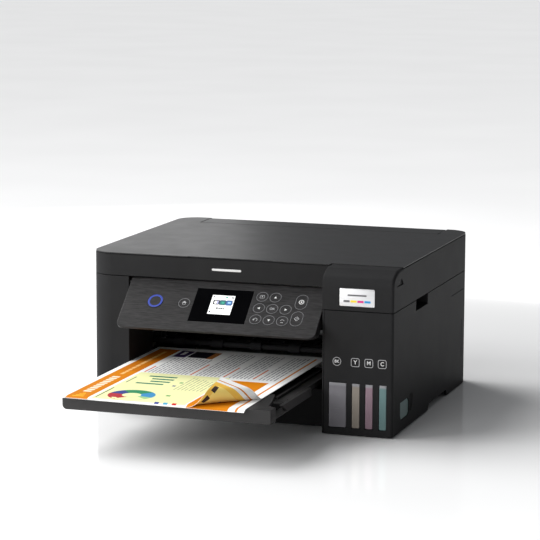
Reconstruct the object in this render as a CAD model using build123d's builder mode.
from build123d import *
import os
from math import atan2, cos, degrees, hypot, radians, sin

# Compact ink-tank all-in-one printer. Millimetres, +Z up, front towards -Y.
# The origin lies on the table, under the middle of the whole object with its
# output tray pulled out and the printed sheets reaching over the tray's edge.

# ---------------------------------------------------------------- driving sizes
width = 375.0            # left side to right side
depth = 347.0            # ink tank face to rear
height = 187.0           # table to top of the document cover
sheet_reach = 172.0      # the sheets reach this far in front of the ink tank face
tank_step = 32.0         # the ink tank unit stands this far in front of the main front
pillar_width = 50.0      # left front pillar
tank_width = 82.0        # ink tank unit
wall = 2.4               # casing wall
seam = 0.8               # gap between two casings
base_edge = 1.5          # lower edge of the casings above the table
front_left_radius = 28.0
rear_radius = 25.0
lower_top = 160.0        # top of the left case
tank_top = 140.6         # top of the right case
rim_top = 185.1          # top of the scanner's rim
notch_left = -149.5      # rear paper feed: a notch in the upper housing
notch_right = 158.5
cover_notch_front = 215.5

left = -width / 2
right = width / 2
tank_face = (sheet_reach - depth) / 2
rear = tank_face + depth
main_face = tank_face + tank_step
bay_left = left + pillar_width
tank_left = right - tank_width

# Control panel: a slab tilted about a hinge at its top edge
panel_tilt = 48.5        # degrees from vertical
panel_low_x = -132.9
panel_high_x = 102.9
panel_length = 74.0      # from its top edge down the slope
panel_edge_y = tank_face + 34.1
panel_edge_z = 160.4
panel_pin = 6.0          # hinge axis below the face
panel_pin_s = 2.9        # hinge axis below the top edge

# Output tray, pulled out in two stages
tray_front_travel = 72.0
tray_top = 60.0
tray_front_y = tank_face - 164.0
tray_rear_front = tray_front_y + tray_front_travel + 3

# Axes of the two rear hinges
unit_axis = (254.5, 166.0)      # scanner unit on the lower case
cover_axis = (252.5, 180.0)     # document cover on the scanner unit
pin_radius = 2.0
fit_gap = 0.1

os.makedirs("parts", exist_ok=True)


# ---------------------------------------------------------------- helpers
def block(low, high, mode=Mode.ADD):
    """Add or cut a box between its lowest and highest corners."""
    size = [h - l for l, h in zip(low, high)]
    middle = [(h + l) / 2 for l, h in zip(low, high)]
    with Locations(tuple(middle)):
        Box(*size, mode=mode)


def rod_x(x0, x1, y, z, radius, mode=Mode.ADD):
    """Add or cut a round rod along X."""
    with Locations(Location(((x0 + x1) / 2, y, z), (0, 90, 0))):
        Cylinder(radius, x1 - x0, mode=mode)


def rod_y(y0, y1, x, z, radius, mode=Mode.ADD):
    """Add or cut a round rod along Y."""
    with Locations(Location((x, (y0 + y1) / 2, z), (90, 0, 0))):
        Cylinder(radius, y1 - y0, mode=mode)


def rod_z(z0, z1, x, y, radius, mode=Mode.ADD):
    """Add or cut a round rod along Z."""
    with Locations((x, y, (z0 + z1) / 2)):
        Cylinder(radius, z1 - z0, mode=mode)


def round_corners(plan, corners):
    """Fillet the sketch corners nearest to each point by its own radius."""
    for x, y, radius in corners:
        if radius > 0:
            corner = plan.vertices().sort_by_distance((x, y, 0))[0]
            fillet(corner, radius)


def tower(low, high, z0, z1, corners, mode=Mode.ADD):
    """Add or cut an upright block with its own radius on chosen corners."""
    with BuildSketch(Plane.XY.offset(z0)) as plan:
        with Locations(((low[0] + high[0]) / 2, (low[1] + high[1]) / 2)):
            Rectangle(high[0] - low[0], high[1] - low[1])
        round_corners(plan, corners)
    extrude(plan.sketch, amount=z1 - z0, mode=mode)


def upper_plan(z, inset, high_x, notch_front, hood_back):
    """Plan of the upper housing: round left and rear corners, hood corner, feed notch."""
    low_x = left + inset
    far_x = high_x - inset
    low_y = main_face + inset
    far_y = rear - inset
    with BuildSketch(Plane.XY.offset(z)) as plan:
        with Locations(((low_x + far_x) / 2, (low_y + far_y) / 2)):
            Rectangle(far_x - low_x, far_y - low_y)
        round_corners(plan, [
            (low_x, low_y, front_left_radius - inset),
            (low_x, far_y, rear_radius - inset),
            (far_x, far_y, rear_radius - inset),
        ])
        hood_depth = hood_back + inset - low_y + 1
        hood_width = far_x - tank_left + inset + 2
        with Locations((tank_left - seam - inset + hood_width / 2, low_y - 1 + hood_depth / 2)):
            Rectangle(hood_width, hood_depth, mode=Mode.SUBTRACT)
        notch_width = notch_right - notch_left + 2 * inset
        notch_depth = far_y - notch_front + inset + 1
        with Locations(((notch_left + notch_right) / 2, notch_front - inset + notch_depth / 2)):
            Rectangle(notch_width, notch_depth, mode=Mode.SUBTRACT)
    return plan.sketch


def side_profile(x0, x1, points, mode=Mode.ADD):
    """Add or cut a prism along X from an outline given as (y, z) points."""
    with BuildSketch(Plane.YZ.offset(x0)) as profile:
        with BuildLine():
            Polyline(*points, close=True)
        make_face()
    extrude(profile.sketch, amount=x1 - x0, mode=mode)


def belly_arch(x0, x1):
    """Cut the raised middle of a side's lower edge, a hand hold for lifting."""
    arch_front = tank_face + 153
    arch_rear = tank_face + 243
    side_profile(x0, x1, [
        (arch_front, base_edge - 1),
        (arch_front + 6, 8.5),
        (arch_rear - 4, 8.5),
        (arch_rear, base_edge - 1),
    ], Mode.SUBTRACT)


def save(part, name):
    """Label a finished piece and write it."""
    part.label = name
    export_step(part, f"parts/{name}.step")


# ---------------------------------------------------------------- lower casings
floor_low = 9.0
floor_top = 12.0
sill_top = 44.0
inner_gap = 0.4

with BuildPart() as base_pan:
    tower((left + wall + inner_gap, main_face + wall + inner_gap),
          (right - wall - inner_gap, rear - wall - inner_gap), floor_low, floor_top, [
              (left, main_face, front_left_radius - wall),
              (left, rear, rear_radius - wall),
              (right, rear, rear_radius - wall)])
    # the floor's tongue under the ink tanks
    block((tank_left + wall + inner_gap, tank_face + wall + inner_gap, floor_low),
          (right - wall - inner_gap, main_face + 5, floor_top))
    # front sill below the output tray
    block((bay_left + inner_gap, main_face, base_edge), (tank_left - inner_gap, main_face + wall, sill_top))
    block((bay_left + inner_gap, main_face + wall, floor_low),
          (tank_left - inner_gap, main_face + wall + inner_gap + 1, floor_top))
    # ribs that carry the tray
    for rib_x in (-120.0, 86.0):
        block((rib_x, main_face + wall, floor_top), (rib_x + 3, 110, 50.6))
    # foot bosses
    for foot_x in (-165.0, 165.0):
        for foot_y in (-28.0, 160.0, 225.0):
            rod_z(3, floor_low, foot_x, foot_y, 8)
    for foot_x in (120.0, 172.0):
        rod_z(3, floor_low, foot_x, tank_face + 14, 8)
save(base_pan.part, "base_pan")

with BuildPart() as rubber_feet:
    for foot_x in (-165.0, 165.0):
        for foot_y in (-28.0, 160.0, 225.0):
            rod_z(0, 3, foot_x, foot_y, 7)
    for foot_x in (120.0, 172.0):
        rod_z(0, 3, foot_x, tank_face + 14, 7)
save(rubber_feet.part, "rubber_feet")

hinge_y, hinge_z = unit_axis
left_bracket = (-163.4, -158.0)
right_bracket = (166.5, 171.0)

with BuildPart() as left_case:
    tower((left, main_face), (bay_left, rear), base_edge, lower_top,
          [(left, main_face, front_left_radius), (left, rear, rear_radius)])
    tower((left + wall, main_face + wall), (bay_left - wall, rear - wall), base_edge, lower_top,
          [(left, main_face, front_left_radius - wall), (left, rear, rear_radius - wall)], Mode.SUBTRACT)
    # behind the paper bay the inner wall is open for the print mechanism
    block((bay_left - wall - 1, 20, base_edge), (bay_left + 1, rear - wall, lower_top), Mode.SUBTRACT)
    # and it stands on the floor of the base
    block((bay_left - wall - 1, main_face + wall, base_edge), (bay_left + 1, 21, floor_top + 0.3), Mode.SUBTRACT)
    # clearance above the rear wall for the scanner unit's hinge
    block((left - 1, 240, lower_top - 3), (bay_left + 1, rear + 1, lower_top + 1), Mode.SUBTRACT)
    belly_arch(left - 1, left + wall + 1)
    # bearing of the control panel
    rod_x(bay_left - wall - 1, bay_left + 1, panel_edge_y + 1.8, panel_edge_z - 6.4, pin_radius + fit_gap,
          Mode.SUBTRACT)
    # hinge bracket and pin of the scanner unit
    block((left_bracket[0], hinge_y - 4, 120), (left_bracket[1], rear - wall + 0.5, hinge_z - 9))
    block((left_bracket[0], hinge_y - 4, hinge_z - 9), (left_bracket[1], hinge_y + 4, hinge_z))
    rod_x(left_bracket[0], left_bracket[1], hinge_y, hinge_z, 4)
    rod_x(-171.5, left_bracket[0], hinge_y, hinge_z, pin_radius)
save(left_case.part, "left_case")

# ink windows in the front: x from, x to
window_spans = [(113.7, 134.2), (140.4, 149.7), (155.8, 164.8), (171.7, 180.5)]
window_low = 8.7
window_high = 60.0
side_window = [(tank_face + 36, 14), (tank_face + 32, 20), (tank_face + 32, 34.5),
               (tank_face + 64, 34.5), (tank_face + 69, 30), (tank_face + 69, 17.5), (tank_face + 64, 14)]
grip_front = tank_face + 95
grip_rear = tank_face + 147
grip_low = 128.5

with BuildPart() as right_case:
    tower((tank_left, tank_face), (right, rear), base_edge, tank_top,
          [(right, tank_face, 3), (tank_left, tank_face, 2), (right, rear, rear_radius)])
    tower((tank_left + wall, tank_face + wall), (right - wall, rear - wall), base_edge, tank_top,
          [(right, rear, rear_radius - wall)], Mode.SUBTRACT)
    block((tank_left - 1, 24, base_edge), (tank_left + wall + 1, rear - wall, tank_top), Mode.SUBTRACT)
    # the base's floor passes below the paper bay's right wall
    block((tank_left - 1, main_face + wall, base_edge), (tank_left + wall + 1, 25, floor_top + 0.3), Mode.SUBTRACT)
    belly_arch(right - wall - 1, right + 1)
    # groove beside the ink tank unit's left edge
    block((tank_left + 2.0, tank_face - 1, base_edge), (tank_left + 2.8, tank_face + 0.9, tank_top),
          Mode.SUBTRACT)
    for low_x, high_x in window_spans:
        block((low_x, tank_face - 1, window_low), (high_x, tank_face + wall + 1, window_high), Mode.SUBTRACT)
    side_profile(right - wall - 1, right + 1, side_window, Mode.SUBTRACT)
    side_profile(right - 1.4, right + 1, [
        (tank_face + 71, 17.5), (tank_face + 70.5, 36.5), (tank_face + 76.5, 38),
        (tank_face + 85, 34.5), (tank_face + 83.5, 25), (tank_face + 77.7, 17)], Mode.SUBTRACT)
    # lifting grip: a pocket open to the side and the top
    block((172.4, grip_front - 2, grip_low - 2), (right, grip_rear + 2, tank_top))
    block((174.4, grip_front, grip_low), (right + 1, grip_rear, tank_top + 1), Mode.SUBTRACT)
    # fine joint lines of the rear service flap
    block((right - 0.6, 171.5, 118.9), (right + 1, rear - 12, 119.7), Mode.SUBTRACT)
    block((right - 1.2, 222.0, 36.0), (right + 1, 223.8, 83.5), Mode.SUBTRACT)
    # sockets of the inner tank cover's pins
    rod_x(tank_left + wall - 1.5, tank_left + wall, -50, 136.4, 1.6, Mode.SUBTRACT)
    rod_x(right - wall, right - wall + 1.4, -50, 136.4, 1.6, Mode.SUBTRACT)
    # bearing of the control panel
    block((tank_left - 2.1, main_face - 4, 118), (tank_left, main_face + 16, 138))
    block((tank_left - 2.1, main_face - 4, 138), (tank_left - 0.3, main_face + 12, 159))
    rod_x(tank_left - 3, tank_left, panel_edge_y + 1.8, panel_edge_z - 6.4, pin_radius + fit_gap,
          Mode.SUBTRACT)
    # hinge bracket and pin of the scanner unit
    block((right_bracket[0], hinge_y - 4, 100), (right_bracket[1], 257, tank_top))
    block((right_bracket[0], hinge_y - 4, tank_top), (right_bracket[1], 257, hinge_z))
    rod_x(right_bracket[0], right_bracket[1], hinge_y, hinge_z, 4)
    block((right_bracket[0] - 1, 257.3, tank_top), (right_bracket[1] + 1, 260, hinge_z + 5), Mode.SUBTRACT)
    rod_x(160.5, right_bracket[0], hinge_y, hinge_z, pin_radius)
save(right_case.part, "right_case")

rear_cover_low = (-110.0, 44.0)
rear_cover_high = (70.0, 116.0)
socket_y0 = rear - 18

with BuildPart() as rear_panel:
    block((bay_left + 0.4, rear - wall, base_edge), (tank_left - 0.4, rear, 157))
    block((rear_cover_low[0], rear - wall - 1, rear_cover_low[1]),
          (rear_cover_high[0], rear + 1, rear_cover_high[1]), Mode.SUBTRACT)
    block((-133.4, rear - wall - 1, 18), (-104.6, rear + 1, 39.4), Mode.SUBTRACT)
    block((82.6, rear - wall - 1, 22), (97.4, rear + 1, 36.4), Mode.SUBTRACT)
    # ventilation slots
    for slot in range(8):
        slot_x = -88 + slot * 20
        block((slot_x, rear - wall - 1, 134), (slot_x + 12, rear + 1, 137), Mode.SUBTRACT)
save(rear_panel.part, "rear_panel")

with BuildPart() as rear_cover:
    block((rear_cover_low[0] + 0.5, rear - wall, rear_cover_low[1] + 2.6),
          (rear_cover_high[0] - 0.5, rear, rear_cover_high[1] - 0.5))
    # paper guide ribs on its inner face and its finger recess
    for rib in range(7):
        rib_x = -100 + rib * 25
        block((rib_x, rear - 8, 52), (rib_x + 2, rear - wall, 104))
    block((-35, rear - 1.2, 101), (-5, rear + 1, 111), Mode.SUBTRACT)
    rod_x(-108, 68, rear - wall - 1.4, rear_cover_low[1] + 4, 1.8)
save(rear_cover.part, "rear_cover")

with BuildPart() as case_screws:
    for screw_x, screw_y in ((-150, 20), (-150, 200), (150, 200), (146, -75), (-100, 240), (60, 240)):
        rod_z(floor_low - 1.6, floor_low, screw_x, screw_y, 3.2)
    with BuildSketch(Plane.XY.offset(floor_low - 1.6)) as recesses:
        with Locations((-150, 20), (-150, 200), (150, 200), (146, -75), (-100, 240), (60, 240)):
            Rectangle(3.4, 0.8)
            Rectangle(0.8, 3.4)
    extrude(recesses.sketch, amount=1, mode=Mode.SUBTRACT)
save(case_screws.part, "case_screws")

# ---------------------------------------------------------------- print mechanism
end_plate_x = 170.5
beam_y = 148.0
rod_axis = (128.0, 100.0)
belt_y = 143.0
belt_z = 112.0
pulley_x = 158.0
pulley_radius = 8.0
feed_axis = (118.0, 66.0)
eject_axis = (52.0, 66.0)
drive_axis = (85.0, 66.0)

with BuildPart() as chassis:
    block((-end_plate_x - 1.5, beam_y, 60), (end_plate_x + 1.5, beam_y + 1.5, 140))
    for side in (-1, 1):
        low_x = min(side * end_plate_x, side * (end_plate_x + 1.5))
        block((low_x, 40, 47), (low_x + 1.5, beam_y, 118))
        block((low_x, 40, floor_top), (low_x + 1.5, 60, 47))
    # holes for the rod, the two roller shafts and the motor shafts
    for axis, radius in ((rod_axis, 3.0), (feed_axis, 3.0), (eject_axis, 3.0), (drive_axis, 3.0)):
        rod_x(-end_plate_x - 3, end_plate_x + 3, axis[0], axis[1], radius + fit_gap, Mode.SUBTRACT)
    rod_y(beam_y - 1, beam_y + 3, -pulley_x, belt_z, 2.1, Mode.SUBTRACT)
    block((-60, beam_y - 1, 72), (60, beam_y + 3, 92), Mode.SUBTRACT)
save(chassis.part, "chassis")

with BuildPart() as carriage_rod:
    rod_x(-end_plate_x - 4, end_plate_x + 4, rod_axis[0], rod_axis[1], 3.0)
save(carriage_rod.part, "carriage_rod")

with BuildPart() as platen:
    block((-138, 64, 63), (104, 106, 69))
    for rib in range(12):
        rib_x = -130 + rib * 20
        block((rib_x, 68, 69), (rib_x + 1.6, 102, 71))
    block((-136, 69, 68), (100, 70.5, 70), Mode.SUBTRACT)
save(platen.part, "platen")

with BuildPart() as cap_station:
    block((112, 62, floor_top), (168, 112, 58))
    block((116, 66, 30), (164, 108, 58), Mode.SUBTRACT)
    block((120, 70, 30), (158, 102, 66))
    block((124, 74, 62), (154, 98, 67), Mode.SUBTRACT)
save(cap_station.part, "cap_station")

with BuildPart() as waste_pad:
    block((-132, 118, floor_top), (96, 196, 40))
    fillet(waste_pad.edges().filter_by(Axis.Z), 4)
save(waste_pad.part, "waste_pad")

with BuildPart() as drive_motors:
    # carriage motor behind the beam, then the feed motor outside the left end plate
    rod_y(beam_y + 1.6, beam_y + 29.6, -pulley_x, belt_z, 14)
    rod_y(belt_y - 4.5, beam_y + 1.6, -pulley_x, belt_z, 1.5)
    rod_x(-161.5, -148.5, drive_axis[0], drive_axis[1], 9)
    rod_x(-168.6, -161.5, drive_axis[0], drive_axis[1], 1.5)
save(drive_motors.part, "drive_motors")


def gear(x0, x1, y, z, teeth, turn):
    """Add a spur gear along X; `turn` sets one tooth's angle above +Y."""
    module = 1.5
    pitch_radius = module * teeth / 2
    root = pitch_radius - 1.35 * module
    tip = pitch_radius + 0.75 * module
    rod_x(x0, x1, y, z, root)
    with BuildSketch() as tooth:
        with BuildLine():
            Polyline((root - 0.6, -1.35), (pitch_radius, -0.98), (tip, -0.45),
                     (tip, 0.45), (pitch_radius, 0.98), (root - 0.6, 1.35), close=True)
        make_face()
    with BuildSketch(Plane.YZ.offset(x0)) as rim:
        with Locations((y, z)):
            with PolarLocations(0, teeth, start_angle=turn):
                add(tooth.sketch)
    extrude(rim.sketch, amount=x1 - x0)


feed_teeth = 24
drive_teeth = 20
gear_low_x = -168.0
gear_high_x = -163.0

with BuildPart() as feed_roller:
    rod_x(-end_plate_x - 2, end_plate_x + 2, feed_axis[0], feed_axis[1], 3.0)
    rod_x(-136, 100, feed_axis[0], feed_axis[1], 6.0)
    gear(gear_low_x, gear_high_x, feed_axis[0], feed_axis[1], feed_teeth, 0)
save(feed_roller.part, "feed_roller")

with BuildPart() as eject_roller:
    rod_x(-end_plate_x - 2, end_plate_x + 2, eject_axis[0], eject_axis[1], 3.0)
    for roll in range(5):
        roll_x = -122 + roll * 48
        rod_x(roll_x, roll_x + 14, eject_axis[0], eject_axis[1], 4.6)
    gear(gear_low_x, gear_high_x, eject_axis[0], eject_axis[1], feed_teeth, 0)
save(eject_roller.part, "eject_roller")

with BuildPart() as drive_gear:
    gear(gear_low_x, gear_high_x, drive_axis[0], drive_axis[1], drive_teeth, 180 / drive_teeth)
    rod_x(gear_low_x - 1, gear_high_x + 1, drive_axis[0], drive_axis[1], 1.5 + fit_gap, Mode.SUBTRACT)
save(drive_gear.part, "drive_gear")

carriage_low_x = 108.0
carriage_high_x = 168.0

with BuildPart() as carriage:
    block((carriage_low_x, 62, 80), (carriage_high_x, 120, 122))
    block((carriage_low_x + 2, 64, 83), (carriage_high_x - 2, 118, 123), Mode.SUBTRACT)
    for tower_x in (carriage_low_x, carriage_high_x - 12):
        block((tower_x, 120, 92), (tower_x + 12, 135, 108))
        rod_x(tower_x - 1, tower_x + 13, rod_axis[0], rod_axis[1], 3.0 + fit_gap, Mode.SUBTRACT)
    block((carriage_low_x + 12, 120, 100), (carriage_high_x - 12, 122, 116))
    # clamp on the belt's lower run
    block((carriage_low_x + 22, 122, 109), (carriage_low_x + 34, 140, 111))
    block((carriage_low_x + 22, 138, 106.5), (carriage_low_x + 34, 140, 109))
    # ink dampers inside
    for damper in range(4):
        damper_x = carriage_low_x + 6 + damper * 12.5
        block((damper_x, 70, 84), (damper_x + 10, 112, 112))
    block((carriage_low_x + 4, 68, 83), (carriage_high_x - 4, 114, 84))
save(carriage.part, "carriage")

with BuildPart() as print_head:
    block((carriage_low_x + 12, 74, 72.6), (carriage_high_x - 16, 98, 80))
    chamfer(print_head.edges().group_by(Axis.Z)[0], 1)
save(print_head.part, "print_head")

with BuildPart() as carriage_belt:
    with BuildSketch(Plane.XZ.offset(-belt_y - 2)) as loop:
        with Locations((0, belt_z)):
            SlotCenterToCenter(2 * pulley_x, 2 * (pulley_radius + 1.3))
            SlotCenterToCenter(2 * pulley_x, 2 * (pulley_radius + 0.3), mode=Mode.SUBTRACT)
    extrude(loop.sketch, amount=4)
    # the idler at the belt's far end
    rod_y(belt_y - 2, belt_y + 2, pulley_x, belt_z, pulley_radius)
save(carriage_belt.part, "carriage_belt")

with BuildPart() as drive_pulley:
    rod_y(belt_y - 2.5, belt_y + 2.5, -pulley_x, belt_z, pulley_radius)
    rod_y(belt_y - 3, belt_y + 3, -pulley_x, belt_z, 1.5 + fit_gap, Mode.SUBTRACT)
save(drive_pulley.part, "drive_pulley")

# ---------------------------------------------------------------- rear paper feed
pick_axis = (186.0, 112.0)
funnel_low_x = notch_left + 1
funnel_high_x = notch_right - 1
slope_top = (246.0, 174.0)
slope_foot = (208.0, 84.0)

with BuildPart() as feeder_frame:
    # back slope, rear wall and two side cheeks
    side_profile(funnel_low_x, funnel_high_x, [
        (slope_top[0], slope_top[1]), (rear - wall - 1.5, slope_top[1]), (rear - wall - 1.5, 157.4),
        (rear, 157.4), (rear, 178), (rear - wall, 178), (rear - wall, 176.5),
        (slope_top[0] - 0.5, 176.5), (slope_foot[0], slope_foot[1] + 2), (slope_foot[0] + 2, slope_foot[1])])
    for cheek_x in (funnel_low_x, funnel_high_x - 2.4):
        side_profile(cheek_x, cheek_x + 2.4, [
            (216.5, 176.5), (216.5, 160), (179, 122), (179, 98), (slope_foot[0], slope_foot[1]),
            (slope_top[0] + 1, slope_top[1] + 1), (slope_top[0], 176.5)])
    # front wall of the feed slot
    block((funnel_low_x, 216.5, 160), (funnel_high_x, 218.5, 176.5))
    # bearings of the pick roller's shaft
    for cheek_x in (funnel_low_x, funnel_high_x - 2.4):
        rod_x(cheek_x - 1, cheek_x + 4, pick_axis[0], pick_axis[1], 3.0 + fit_gap, Mode.SUBTRACT)
save(feeder_frame.part, "feeder_frame")

with BuildPart() as pick_roller:
    rod_x(funnel_low_x - 2, funnel_high_x + 2, pick_axis[0], pick_axis[1], 3.0)
    rod_x(-48, -8, pick_axis[0], pick_axis[1], 14)
    # flat that lets the stack drop back between sheets
    block((-50, pick_axis[0] + 9.5, pick_axis[1] - 15), (-6, pick_axis[0] + 15, pick_axis[1] + 15),
          Mode.SUBTRACT)
save(pick_roller.part, "pick_roller")

slope_run = hypot(slope_top[0] - slope_foot[0], slope_top[1] - slope_foot[1])
slope_angle = degrees(atan2(slope_top[1] - slope_foot[1], slope_top[0] - slope_foot[0]))
slope_middle = ((slope_top[0] + slope_foot[0]) / 2, (slope_top[1] + slope_foot[1]) / 2)


def on_slope(along, off, x, size, mode=Mode.ADD):
    """Add a box on the feeder's slope: along it, off its face, at x."""
    a = radians(slope_angle)
    y = slope_middle[0] + along * cos(a) - off * sin(a)
    z = slope_middle[1] + along * sin(a) + off * cos(a)
    with Locations(Location((x, y, z), (slope_angle, 0, 0))):
        Box(*size, mode=mode)


hopper_pivot = (231.9, 154.0)

with BuildPart() as hopper_plate:
    on_slope(-6, 5.2, -28.5, (200, 62, 2))
    on_slope(-30, 6.6, -28.5, (36, 10, 0.8))
    # pivot along the plate's upper edge
    rod_x(-128.5, 71.5, hopper_pivot[0], hopper_pivot[1], 1.2)
save(hopper_plate.part, "hopper_plate")

for name, guide_x, foot_x in (("edge_guide_left", -135.2, -122.0), ("edge_guide_right", 78.2, 65.0)):
    with BuildPart() as edge_guide:
        on_slope(6, 12.5, guide_x, (2.4, 36, 12))
        on_slope(18, 7.3, (guide_x + foot_x) / 2, (abs(guide_x - foot_x) + 2.4, 10, 1.6))
    save(edge_guide.part, name)

# ---------------------------------------------------------------- electrics
with BuildPart() as power_supply:
    block((-182, 70, 13), (-146, 190, 42))
    fillet(power_supply.edges().filter_by(Axis.Z), 2)
save(power_supply.part, "power_supply")

with BuildPart() as main_board:
    block((110, 232, 18), (176, 233.6, 104))
    block((122, 229, 60), (146, 232, 84))
    block((152, 226, 30), (170, 232, 44))
    block((114, 226, 90), (150, 232, 98))
save(main_board.part, "main_board")

with BuildPart() as rear_sockets:
    # mains inlet, a figure-of-eight socket with two pins
    block((-133, socket_y0, 18.4), (-105, rear - 0.3, 39))
    with BuildSketch(Plane.XZ.offset(-rear)) as inlet:
        with Locations((-119, 28.7)):
            SlotCenterToCenter(8.4, 8.4)
    extrude(inlet.sketch, amount=14, mode=Mode.SUBTRACT)
    for pin_x in (-123.2, -114.8):
        rod_y(rear - 14.5, rear - 4, pin_x, 28.7, 1.2)
    # square USB device port
    block((83, socket_y0, 22.4), (97, rear - 0.3, 36))
    block((85.8, rear - 10, 25.4), (94.2, rear + 1, 33), Mode.SUBTRACT)
    block((87.4, rear - 10.5, 26.2), (92.6, rear - 2, 28.2))
save(rear_sockets.part, "rear_sockets")

# ---------------------------------------------------------------- ink tanks
tank_spans = [(110.2, 137.0), (138.6, 151.4), (153.6, 166.4), (168.6, 184.4)]
tank_back = 20.0
tank_roof = 106.0
neck_y = -70.0
neck_top = 112.0
cap_axis_z = 116.0
cap_axis_y = neck_y + 9
tank_names = ["black", "yellow", "magenta", "cyan"]

with BuildPart() as ink_tanks:
    for span, window in zip(tank_spans, window_spans):
        middle_x = (span[0] + span[1]) / 2
        block((span[0], tank_face + wall + 0.4, floor_top + 0.3), (span[1], tank_back, tank_roof))
        # the sight window reaches out through the case
        block((window[0] + 0.3, tank_face + 0.7, window_low + 3.9),
              (window[1] - 0.3, tank_face + wall + 0.5, window_high - 0.3))
        block((span[0] + 1.4, tank_face + wall + 2, floor_top + 2), (span[1] - 1.4, tank_back - 1.4, tank_roof - 1.4),
              Mode.SUBTRACT)
        rod_z(tank_roof, neck_top, middle_x, neck_y, 5.2)
        rod_z(tank_roof - 2, neck_top + 1, middle_x, neck_y, 3.7, Mode.SUBTRACT)
        # cheeks and pin of the cap's hinge
        for side in (-1, 1):
            cheek_x = middle_x + side * 3.6
            block((cheek_x - 0.7, cap_axis_y - 1.8, tank_roof), (cheek_x + 0.7, cap_axis_y + 1.8, cap_axis_z + 1.8))
        rod_x(middle_x - 3.6, middle_x + 3.6, cap_axis_y, cap_axis_z, 0.9)
    # the outermost tank shows in the side window
    side_profile(184.3, right - 0.8, [
        (tank_face + 37, 14.4), (tank_face + 32.5, 20.3), (tank_face + 32.5, 34.0),
        (tank_face + 63.7, 34.0), (tank_face + 68.5, 29.7), (tank_face + 68.5, 17.8), (tank_face + 63.7, 14.4)])
save(ink_tanks.part, "ink_tanks")

for name, span in zip(tank_names, tank_spans):
    middle_x = (span[0] + span[1]) / 2
    with BuildPart() as cap:
        rod_z(neck_top + 0.2, neck_top + 5, middle_x, neck_y, 5.6)
        rod_z(neck_top - 1.3, neck_top + 0.2, middle_x, neck_y, 2.2)
        block((middle_x - 2.2, neck_y, neck_top + 1), (middle_x + 2.2, cap_axis_y, neck_top + 5))
        rod_x(middle_x - 2.2, middle_x + 2.2, cap_axis_y, cap_axis_z, 2.4)
        rod_x(middle_x - 3, middle_x + 3, cap_axis_y, cap_axis_z, 0.9 + fit_gap, Mode.SUBTRACT)
    save(cap.part, f"cap_{name}")

with BuildPart() as tank_cover:
    block((109, -83, 135.2), (184, -50, 137.4))
    rod_x(109, 184, -50, 136.4, 1.9)
    rod_x(106.8, 186, -50, 136.4, 1.5)
    block((138, -84, 135.2), (156, -82, 139.4))
save(tank_cover.part, "tank_cover")

# ---------------------------------------------------------------- scanner unit
unit_low = lower_top + seam
case_right = right - wall - 0.3
hood_back = tank_face + 39.0
scanner_notch_front = 209.5
ear_cut_y = 244.0
ear_wall_top = 173.5
glass_low = (-158.0, -32.0)
glass_high = (150.0, 194.0)
glass_z = 175.0
bezel_z = 178.0
bezel_top = 180.0

with BuildPart() as scanner_case:
    extrude(upper_plan(unit_low, 0, case_right, scanner_notch_front, hood_back), amount=rim_top - unit_low)
    extrude(upper_plan(unit_low + wall, wall, case_right, scanner_notch_front, hood_back),
            amount=rim_top - unit_low, mode=Mode.SUBTRACT)
    # hinge clearance at the rear ears
    block((left - 1, ear_cut_y, ear_wall_top), (right, rear + 1, rim_top + 1), Mode.SUBTRACT)
    block((notch_right - 1, ear_cut_y, unit_low - 1), (right, rear + 1, rim_top + 1), Mode.SUBTRACT)
    block((-164.4, 246, unit_low - 1), (-157, rear + 1, ear_wall_top + 1), Mode.SUBTRACT)
    # knuckles of the unit's hinge
    for low_x, high_x in ((-172.0, -164.4), (159.6, 165.9)):
        block((low_x, 236, unit_low), (high_x, hinge_y, hinge_z))
        rod_x(low_x, high_x, hinge_y, hinge_z, 4)
        rod_x(low_x - 1, high_x + 1, hinge_y, hinge_z, pin_radius + fit_gap, Mode.SUBTRACT)
    # brackets and pins of the document cover's hinge
    for low_x, high_x, pin_low, pin_high in ((-156.5, -152.2, -167.0, -156.5), (160.0, 164.0, 164.0, 171.5)):
        block((low_x, 234, unit_low + 2), (high_x, 246, 172))
        block((low_x, 240, 170.4), (high_x, cover_axis[0] + 3, cover_axis[1]))
        rod_x(low_x, high_x, cover_axis[0], cover_axis[1], 3)
        rod_x(pin_low, pin_high, cover_axis[0], cover_axis[1], pin_radius)
    # rail for the image sensor, along X, and the ledges that carry the glass
    block((-165, 78, unit_low + wall), (165, 84, unit_low + wall + 3.2))
    for ledge_y in (-44.0, 198.0):
        block((-160, ledge_y, unit_low + wall), (152, ledge_y + 3, bezel_z))
save(scanner_case.part, "scanner_case")

with BuildPart() as scan_glass:
    block((*glass_low, glass_z), (*glass_high, bezel_z))
save(scan_glass.part, "scan_glass")

with BuildPart() as scanner_bezel:
    extrude(upper_plan(bezel_z, wall + 0.3, case_right, scanner_notch_front, hood_back), amount=bezel_top - bezel_z)
    block((-152.5, -26.5, bezel_z - 1), (144.5, 189.5, bezel_top + 1), Mode.SUBTRACT)
    block((left, 236, bezel_z - 1), (right, rear, bezel_top + 1), Mode.SUBTRACT)
save(scanner_bezel.part, "scanner_bezel")

with BuildPart() as scan_bar:
    block((-150, -30, 168.0), (-134, 192, 174.0))
    block((-149, 72, 166.8), (-135, 90, 168.0))
    block((-144, -26, 174.0), (-140, 188, 174.5))
save(scan_bar.part, "scan_bar")

hood_low = tank_top + seam
shell = 2.2

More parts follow.
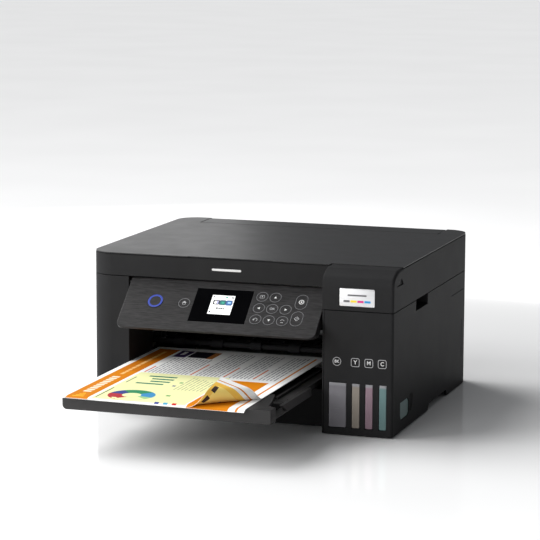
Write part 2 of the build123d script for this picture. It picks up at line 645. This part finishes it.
with BuildPart() as right_cover:
    with BuildSketch(Plane.YZ.offset(tank_left)) as profile:
        with BuildLine():
            Line((hood_back, 186.4), (hood_back, hood_low))
            Line((hood_back, hood_low), (tank_face, hood_low))
            Line((tank_face, hood_low), (tank_face, 166))
            Spline((tank_face, 166), (tank_face + 4.2, 178.4), (tank_face + 16, 184.2), (hood_back, 186.4),
                   tangents=((0, 1), (1, 0.03)))
        make_face()
    extrude(profile.sketch, amount=tank_width)
    fillet(right_cover.edges().filter_by(Axis.Z).group_by(Axis.Y)[0].sort_by(Axis.X)[-1], 3)
    with BuildSketch(Plane.YZ.offset(tank_left + shell)) as hollow:
        with BuildLine():
            Line((hood_back + 1, 184.2), (hood_back + 1, hood_low - 1))
            Line((hood_back + 1, hood_low - 1), (tank_face + shell, hood_low - 1))
            Line((tank_face + shell, hood_low - 1), (tank_face + shell, 166))
            Spline((tank_face + shell, 166), (tank_face + 6.2, 176.6), (tank_face + 16.4, 182.0),
                   (hood_back + 1, 184.2), tangents=((0, 1), (1, 0.03)))
        make_face()
    extrude(hollow.sketch, amount=tank_width - 2 * shell, mode=Mode.SUBTRACT)
    # the side wall runs on to the rear and round the corner
    tower((120, hood_back), (right, rear), hood_low, rim_top, [(right, rear, rear_radius)])
    tower((110, hood_back), (right - shell, rear - shell), hood_low, rim_top,
          [(right, rear, rear_radius - shell)], Mode.SUBTRACT)
    block((110, rear - shell - 4, hood_low), (172.5, rear + 1, rim_top), Mode.SUBTRACT)
    block((tank_left, ear_cut_y, ear_wall_top), (right + 1, rear + 1, rim_top + 1), Mode.SUBTRACT)
    # shallow wedge pressed into the hood's side
    side_profile(right - 1.3, right + 1, [(tank_face + 12, 168.6), (tank_face + 40, 168.0), (tank_face + 33, 175.4)],
                 Mode.SUBTRACT)
save(right_cover.part, "right_cover")

# ---------------------------------------------------------------- document cover
plate_z = rim_top + seam
skirt_inset = 0.9

with BuildPart() as document_cover:
    extrude(upper_plan(plate_z, 0.3, right, cover_notch_front, hood_back + 0.4), amount=height - plate_z)
    # finger notch in the front edge
    block((-66, main_face - 1, plate_z - 1), (36.5, main_face + 2.2, height + 1), Mode.SUBTRACT)
    # body of the cover inside the scanner's rim
    extrude(upper_plan(181, wall + 2, case_right, scanner_notch_front, hood_back + 1), amount=plate_z - 181)
    block((left, 240, 181 - 1), (right + 1, rear + 1, plate_z), Mode.SUBTRACT)
    # rear skirt of the two ears
    with BuildSketch(Plane.XY.offset(178)) as rear_skirt:
        with Locations((0, (main_face + rear) / 2)):
            Rectangle(width - 2 * skirt_inset, rear - main_face - 2 * skirt_inset)
        round_corners(rear_skirt, [(left, rear, rear_radius - skirt_inset), (right, rear, rear_radius - skirt_inset)])
        with Locations((0, (main_face + rear) / 2 - 10)):
            Rectangle(width - 2 * wall, rear - main_face + 20 - 2 * wall, mode=Mode.SUBTRACT)
        with Locations((0, main_face)):
            Rectangle(width + 10, 2 * (ear_cut_y + 0.8 - main_face), mode=Mode.SUBTRACT)
        with Locations((3.0, rear)):
            Rectangle(326, 40, mode=Mode.SUBTRACT)
    extrude(rear_skirt.sketch, amount=plate_z + 0.4 - 178)
    # knuckles of the cover's hinge
    for low_x, high_x in ((-168.0, -157.0), (166.2, 172.0)):
        block((low_x, cover_axis[0] - 4, cover_axis[1]), (high_x, cover_axis[0] + 4, plate_z + 0.3))
        rod_x(low_x, high_x, cover_axis[0], cover_axis[1], 4)
        rod_x(low_x - 1, high_x + 1, cover_axis[0], cover_axis[1], pin_radius + fit_gap, Mode.SUBTRACT)
save(document_cover.part, "document_cover")

with BuildPart() as document_pad:
    block((-151, -25, 178.4), (143, 188, 181))
    fillet(document_pad.edges().filter_by(Axis.Z), 4)
save(document_pad.part, "document_pad")

# ---------------------------------------------------------------- rear flap
flap_axis = (rear - 4.5, 182.2)
flap_low_x = notch_left + 1
flap_high_x = notch_right - 1
flap_front = cover_notch_front + 1

with BuildPart() as feed_flap:
    block((flap_low_x, flap_front, 184.2), (flap_high_x, flap_axis[0], height))
    rod_x(flap_low_x, flap_high_x, flap_axis[0], flap_axis[1], 4.5)
    block((flap_low_x, flap_axis[0] - 3, flap_axis[1]), (flap_high_x, flap_axis[0], height - 0.5))
    block((flap_low_x - 1, flap_axis[0] + 0.01, flap_axis[1] + 4.2), (flap_high_x + 1, rear + 1, height + 1),
          Mode.SUBTRACT)
save(feed_flap.part, "feed_flap")

with BuildPart() as support_extension:
    block((-110, flap_front + 2, 181.6), (119, flap_axis[0] - 7, 184.0))
    fillet(support_extension.edges().filter_by(Axis.Z), 5)
save(support_extension.part, "support_extension")

# ---------------------------------------------------------------- control panel
tilt = radians(panel_tilt)
slope_down = (-sin(tilt), -cos(tilt))
face_normal = (-cos(tilt), sin(tilt))
panel_plane = Plane(origin=(0, panel_edge_y, panel_edge_z), x_dir=(1, 0, 0), z_dir=(0, *face_normal))
panel_axis = (panel_edge_y + slope_down[0] * panel_pin_s - face_normal[0] * panel_pin,
              panel_edge_z + slope_down[1] * panel_pin_s - face_normal[1] * panel_pin)
key_travel = 0.8
key_gap = 0.25
skin = 3.4

# keys: name, x, distance down the slope
round_keys = [
    ("key_home", -60.5, 34.9), ("key_menu", 29.0, 19.3), ("key_up", 44.7, 19.3),
    ("key_left", 29.0, 35.7), ("key_ok", 44.7, 35.7), ("key_right", 60.5, 35.7),
    ("key_back", 29.0, 51.9), ("key_down", 44.7, 51.9), ("key_help", 60.5, 51.9)]
round_key_radius = 7.0
power_key = (-95.6, 34.5)
power_key_radius = 9.2
pill_keys = [("key_stop", 76.3, 23.6), ("key_start", 76.4, 47.6)]
pill_size = (14.4, 21.4)
screen_low = (-49.6, 12.0)
screen_high = (17.6, 59.6)


def panel_round(x, s, radius, low, high, mode=Mode.ADD):
    """Add or cut a round boss on the panel's face between two heights."""
    with BuildSketch(panel_plane.offset(low)) as circle:
        with Locations((x, -s)):
            Circle(radius)
    extrude(circle.sketch, amount=high - low, mode=mode)


def panel_pill(x, s, grow, low, high, mode=Mode.ADD):
    """Add or cut an upright pill on the panel's face between two heights."""
    with BuildSketch(panel_plane.offset(low)) as pill:
        with Locations((x, -s)):
            SlotOverall(pill_size[1] + 2 * grow, pill_size[0] + 2 * grow, rotation=90)
    extrude(pill.sketch, amount=high - low, mode=mode)


def panel_slab(low_x, high_x, low_s, high_s, low, high, radius=0, mode=Mode.ADD):
    """Add or cut a slab parallel to the panel's face."""
    with BuildSketch(panel_plane.offset(low)) as slab:
        with Locations(((low_x + high_x) / 2, -(low_s + high_s) / 2)):
            if radius:
                RectangleRounded(high_x - low_x, high_s - low_s, radius)
            else:
                Rectangle(high_x - low_x, high_s - low_s)
    extrude(slab.sketch, amount=high - low, mode=mode)


with BuildPart() as control_panel:
    with BuildSketch(panel_plane.offset(-2 * panel_pin)) as body:
        with Locations(((panel_low_x + panel_high_x) / 2, -(panel_pin_s + panel_length) / 2)):
            Rectangle(panel_high_x - panel_low_x, panel_length - panel_pin_s)
        round_corners(body, [(panel_low_x, -panel_length, 8), (panel_high_x, -panel_length, 8)])
    extrude(body.sketch, amount=2 * panel_pin)
    # the back thins in steps towards the lower edge
    for step_s, thickness in ((62, 8.0), (67.5, 5.2), (71.0, 2.8)):
        panel_slab(panel_low_x - 1, panel_high_x + 1, step_s, 80, -2 * panel_pin - 1, -thickness, 0, Mode.SUBTRACT)
    rod_x(panel_low_x, panel_high_x, panel_axis[0], panel_axis[1], panel_pin)
    rod_x(panel_low_x - 4, panel_high_x + 2.3, panel_axis[0], panel_axis[1], pin_radius)
    panel_slab(panel_low_x + 2.5, panel_high_x - 2.5, 8.5, 60, -2 * panel_pin + 2, -skin, 0, Mode.SUBTRACT)
    for _, key_x, key_s in round_keys:
        panel_round(key_x, key_s, round_key_radius + key_gap, -skin - 1, 1, Mode.SUBTRACT)
    for _, key_x, key_s in pill_keys:
        panel_pill(key_x, key_s, key_gap, -skin - 1, 1, Mode.SUBTRACT)
    panel_round(*power_key, power_key_radius + key_gap, -skin - 1, 1, Mode.SUBTRACT)
    panel_slab(*[screen_low[0] - 0.15, screen_high[0] + 0.15, screen_low[1] - 0.15, screen_high[1] + 0.15],
               -1.6, 1, 0, Mode.SUBTRACT)
save(control_panel.part, "control_panel")

with BuildPart() as screen_glass:
    panel_slab(screen_low[0], screen_high[0], screen_low[1], screen_high[1], -1.6, 0.1)
save(screen_glass.part, "screen_glass")

for name, key_x, key_s in round_keys:
    with BuildPart() as key:
        panel_round(key_x, key_s, round_key_radius, -2.6, 0.25)
    save(key.part, name)
for name, key_x, key_s in pill_keys:
    with BuildPart() as key:
        panel_pill(key_x, key_s, 0, -2.6, 0.25)
    save(key.part, name)
with BuildPart() as power_button:
    panel_round(*power_key, power_key_radius, -2.6, 0.25)
save(power_button.part, "power_button")

# ---------------------------------------------------------------- output tray
tray_low_x = bay_left + 0.9
tray_high_x = tank_left - 4.9
front_plate_rear = tank_face - 84
rail_rear = tank_face - 22
rail_low = 47.6
notch_front = tray_front_y + 17

with BuildPart() as tray_front:
    # front wall with a rounded lower left corner, hollow behind
    with BuildSketch(Plane.XZ.offset(-tray_front_y)) as face:
        with Locations(((tray_low_x + tray_high_x) / 2, 52.5)):
            Rectangle(tray_high_x - tray_low_x, 15)
        round_corners(face, [(tray_low_x, 45, 5)])
    extrude(face.sketch, amount=-13)
    block((tray_low_x + 4.2, tray_front_y + 2.5, 44), (tray_high_x - 4.2, tray_front_y + 14, 57), Mode.SUBTRACT)
    # the wall's right end turns back as a flange, with a groove at the corner
    block((tray_high_x - 4, tray_front_y + 12, 45), (tray_high_x, notch_front, tray_top))
    block((tray_high_x - 0.8, tray_front_y + 1.6, 44), (tray_high_x + 1, tray_front_y + 2.8, 58), Mode.SUBTRACT)
    # top plate, its right side drawn in behind the flange
    with BuildSketch(Plane.XY.offset(57)) as top_plate:
        with BuildLine():
            Polyline((tray_low_x, tray_front_y + 2), (tray_high_x, tray_front_y + 2), (tray_high_x, notch_front),
                     (91, notch_front + 6), (86, tank_face - 113), (79, front_plate_rear),
                     (tray_low_x, front_plate_rear), close=True)
        make_face()
    extrude(top_plate.sketch, amount=tray_top - 57)
    # left rail, cut on a slant behind the front plate
    side_profile(tray_low_x, tray_low_x + 4, [
        (tray_front_y + 12, rail_low), (tray_front_y + 12, 57.2), (tank_face - 124, 57.2),
        (tank_face - 106, 50.4), (tank_face - 96, 56.6), (rail_rear, 56.6), (rail_rear, rail_low)])
    # right rail, which starts behind an open notch and hangs on a strip below it
    side_profile(tray_high_x - 4, tray_high_x, [
        (tank_face - 123, 57.2), (tank_face - 106.5, rail_low), (rail_rear, rail_low),
        (rail_rear, 56.6), (tank_face - 116, 57.2)])
    block((tray_high_x - 10, tray_front_y + 1, rail_low), (tray_high_x, tank_face - 90, rail_low + 2))
save(tray_front.part, "tray_front")

with BuildPart() as tray_rear:
    block((tray_low_x + 4.6, tray_rear_front, 51), (tray_high_x - 4.6, tank_face + 100, 54))
    for wall_x in (tray_low_x + 4.6, tray_high_x - 6.6):
        block((wall_x, tray_rear_front, 54), (wall_x + 2, tank_face + 100, 56.6))
    for rib in range(6):
        rib_x = -112 + rib * 38
        block((rib_x, tank_face - 80, 54), (rib_x + 3, tank_face + 98, 56.4))
save(tray_rear.part, "tray_rear")

sheet_left = bay_left + 1.1
sheet_width = 210.0
sheet_length = 297.0
sheet_front = tank_face - sheet_reach
curl_cut = 62.0

with BuildPart() as printed_sheets:
    block((sheet_left, sheet_front, 60.3), (sheet_left + sheet_width, sheet_front + sheet_length, 60.6))
    with BuildSketch(Plane.XY.offset(60.8)) as upper_sheet:
        with BuildLine():
            Polyline((sheet_left, sheet_front), (sheet_left + sheet_width - curl_cut, sheet_front),
                     (sheet_left + sheet_width, sheet_front + curl_cut),
                     (sheet_left + sheet_width, sheet_front + sheet_length),
                     (sheet_left, sheet_front + sheet_length), close=True)
        make_face()
    extrude(upper_sheet.sketch, amount=0.3)
save(printed_sheets.part, "printed_sheets")
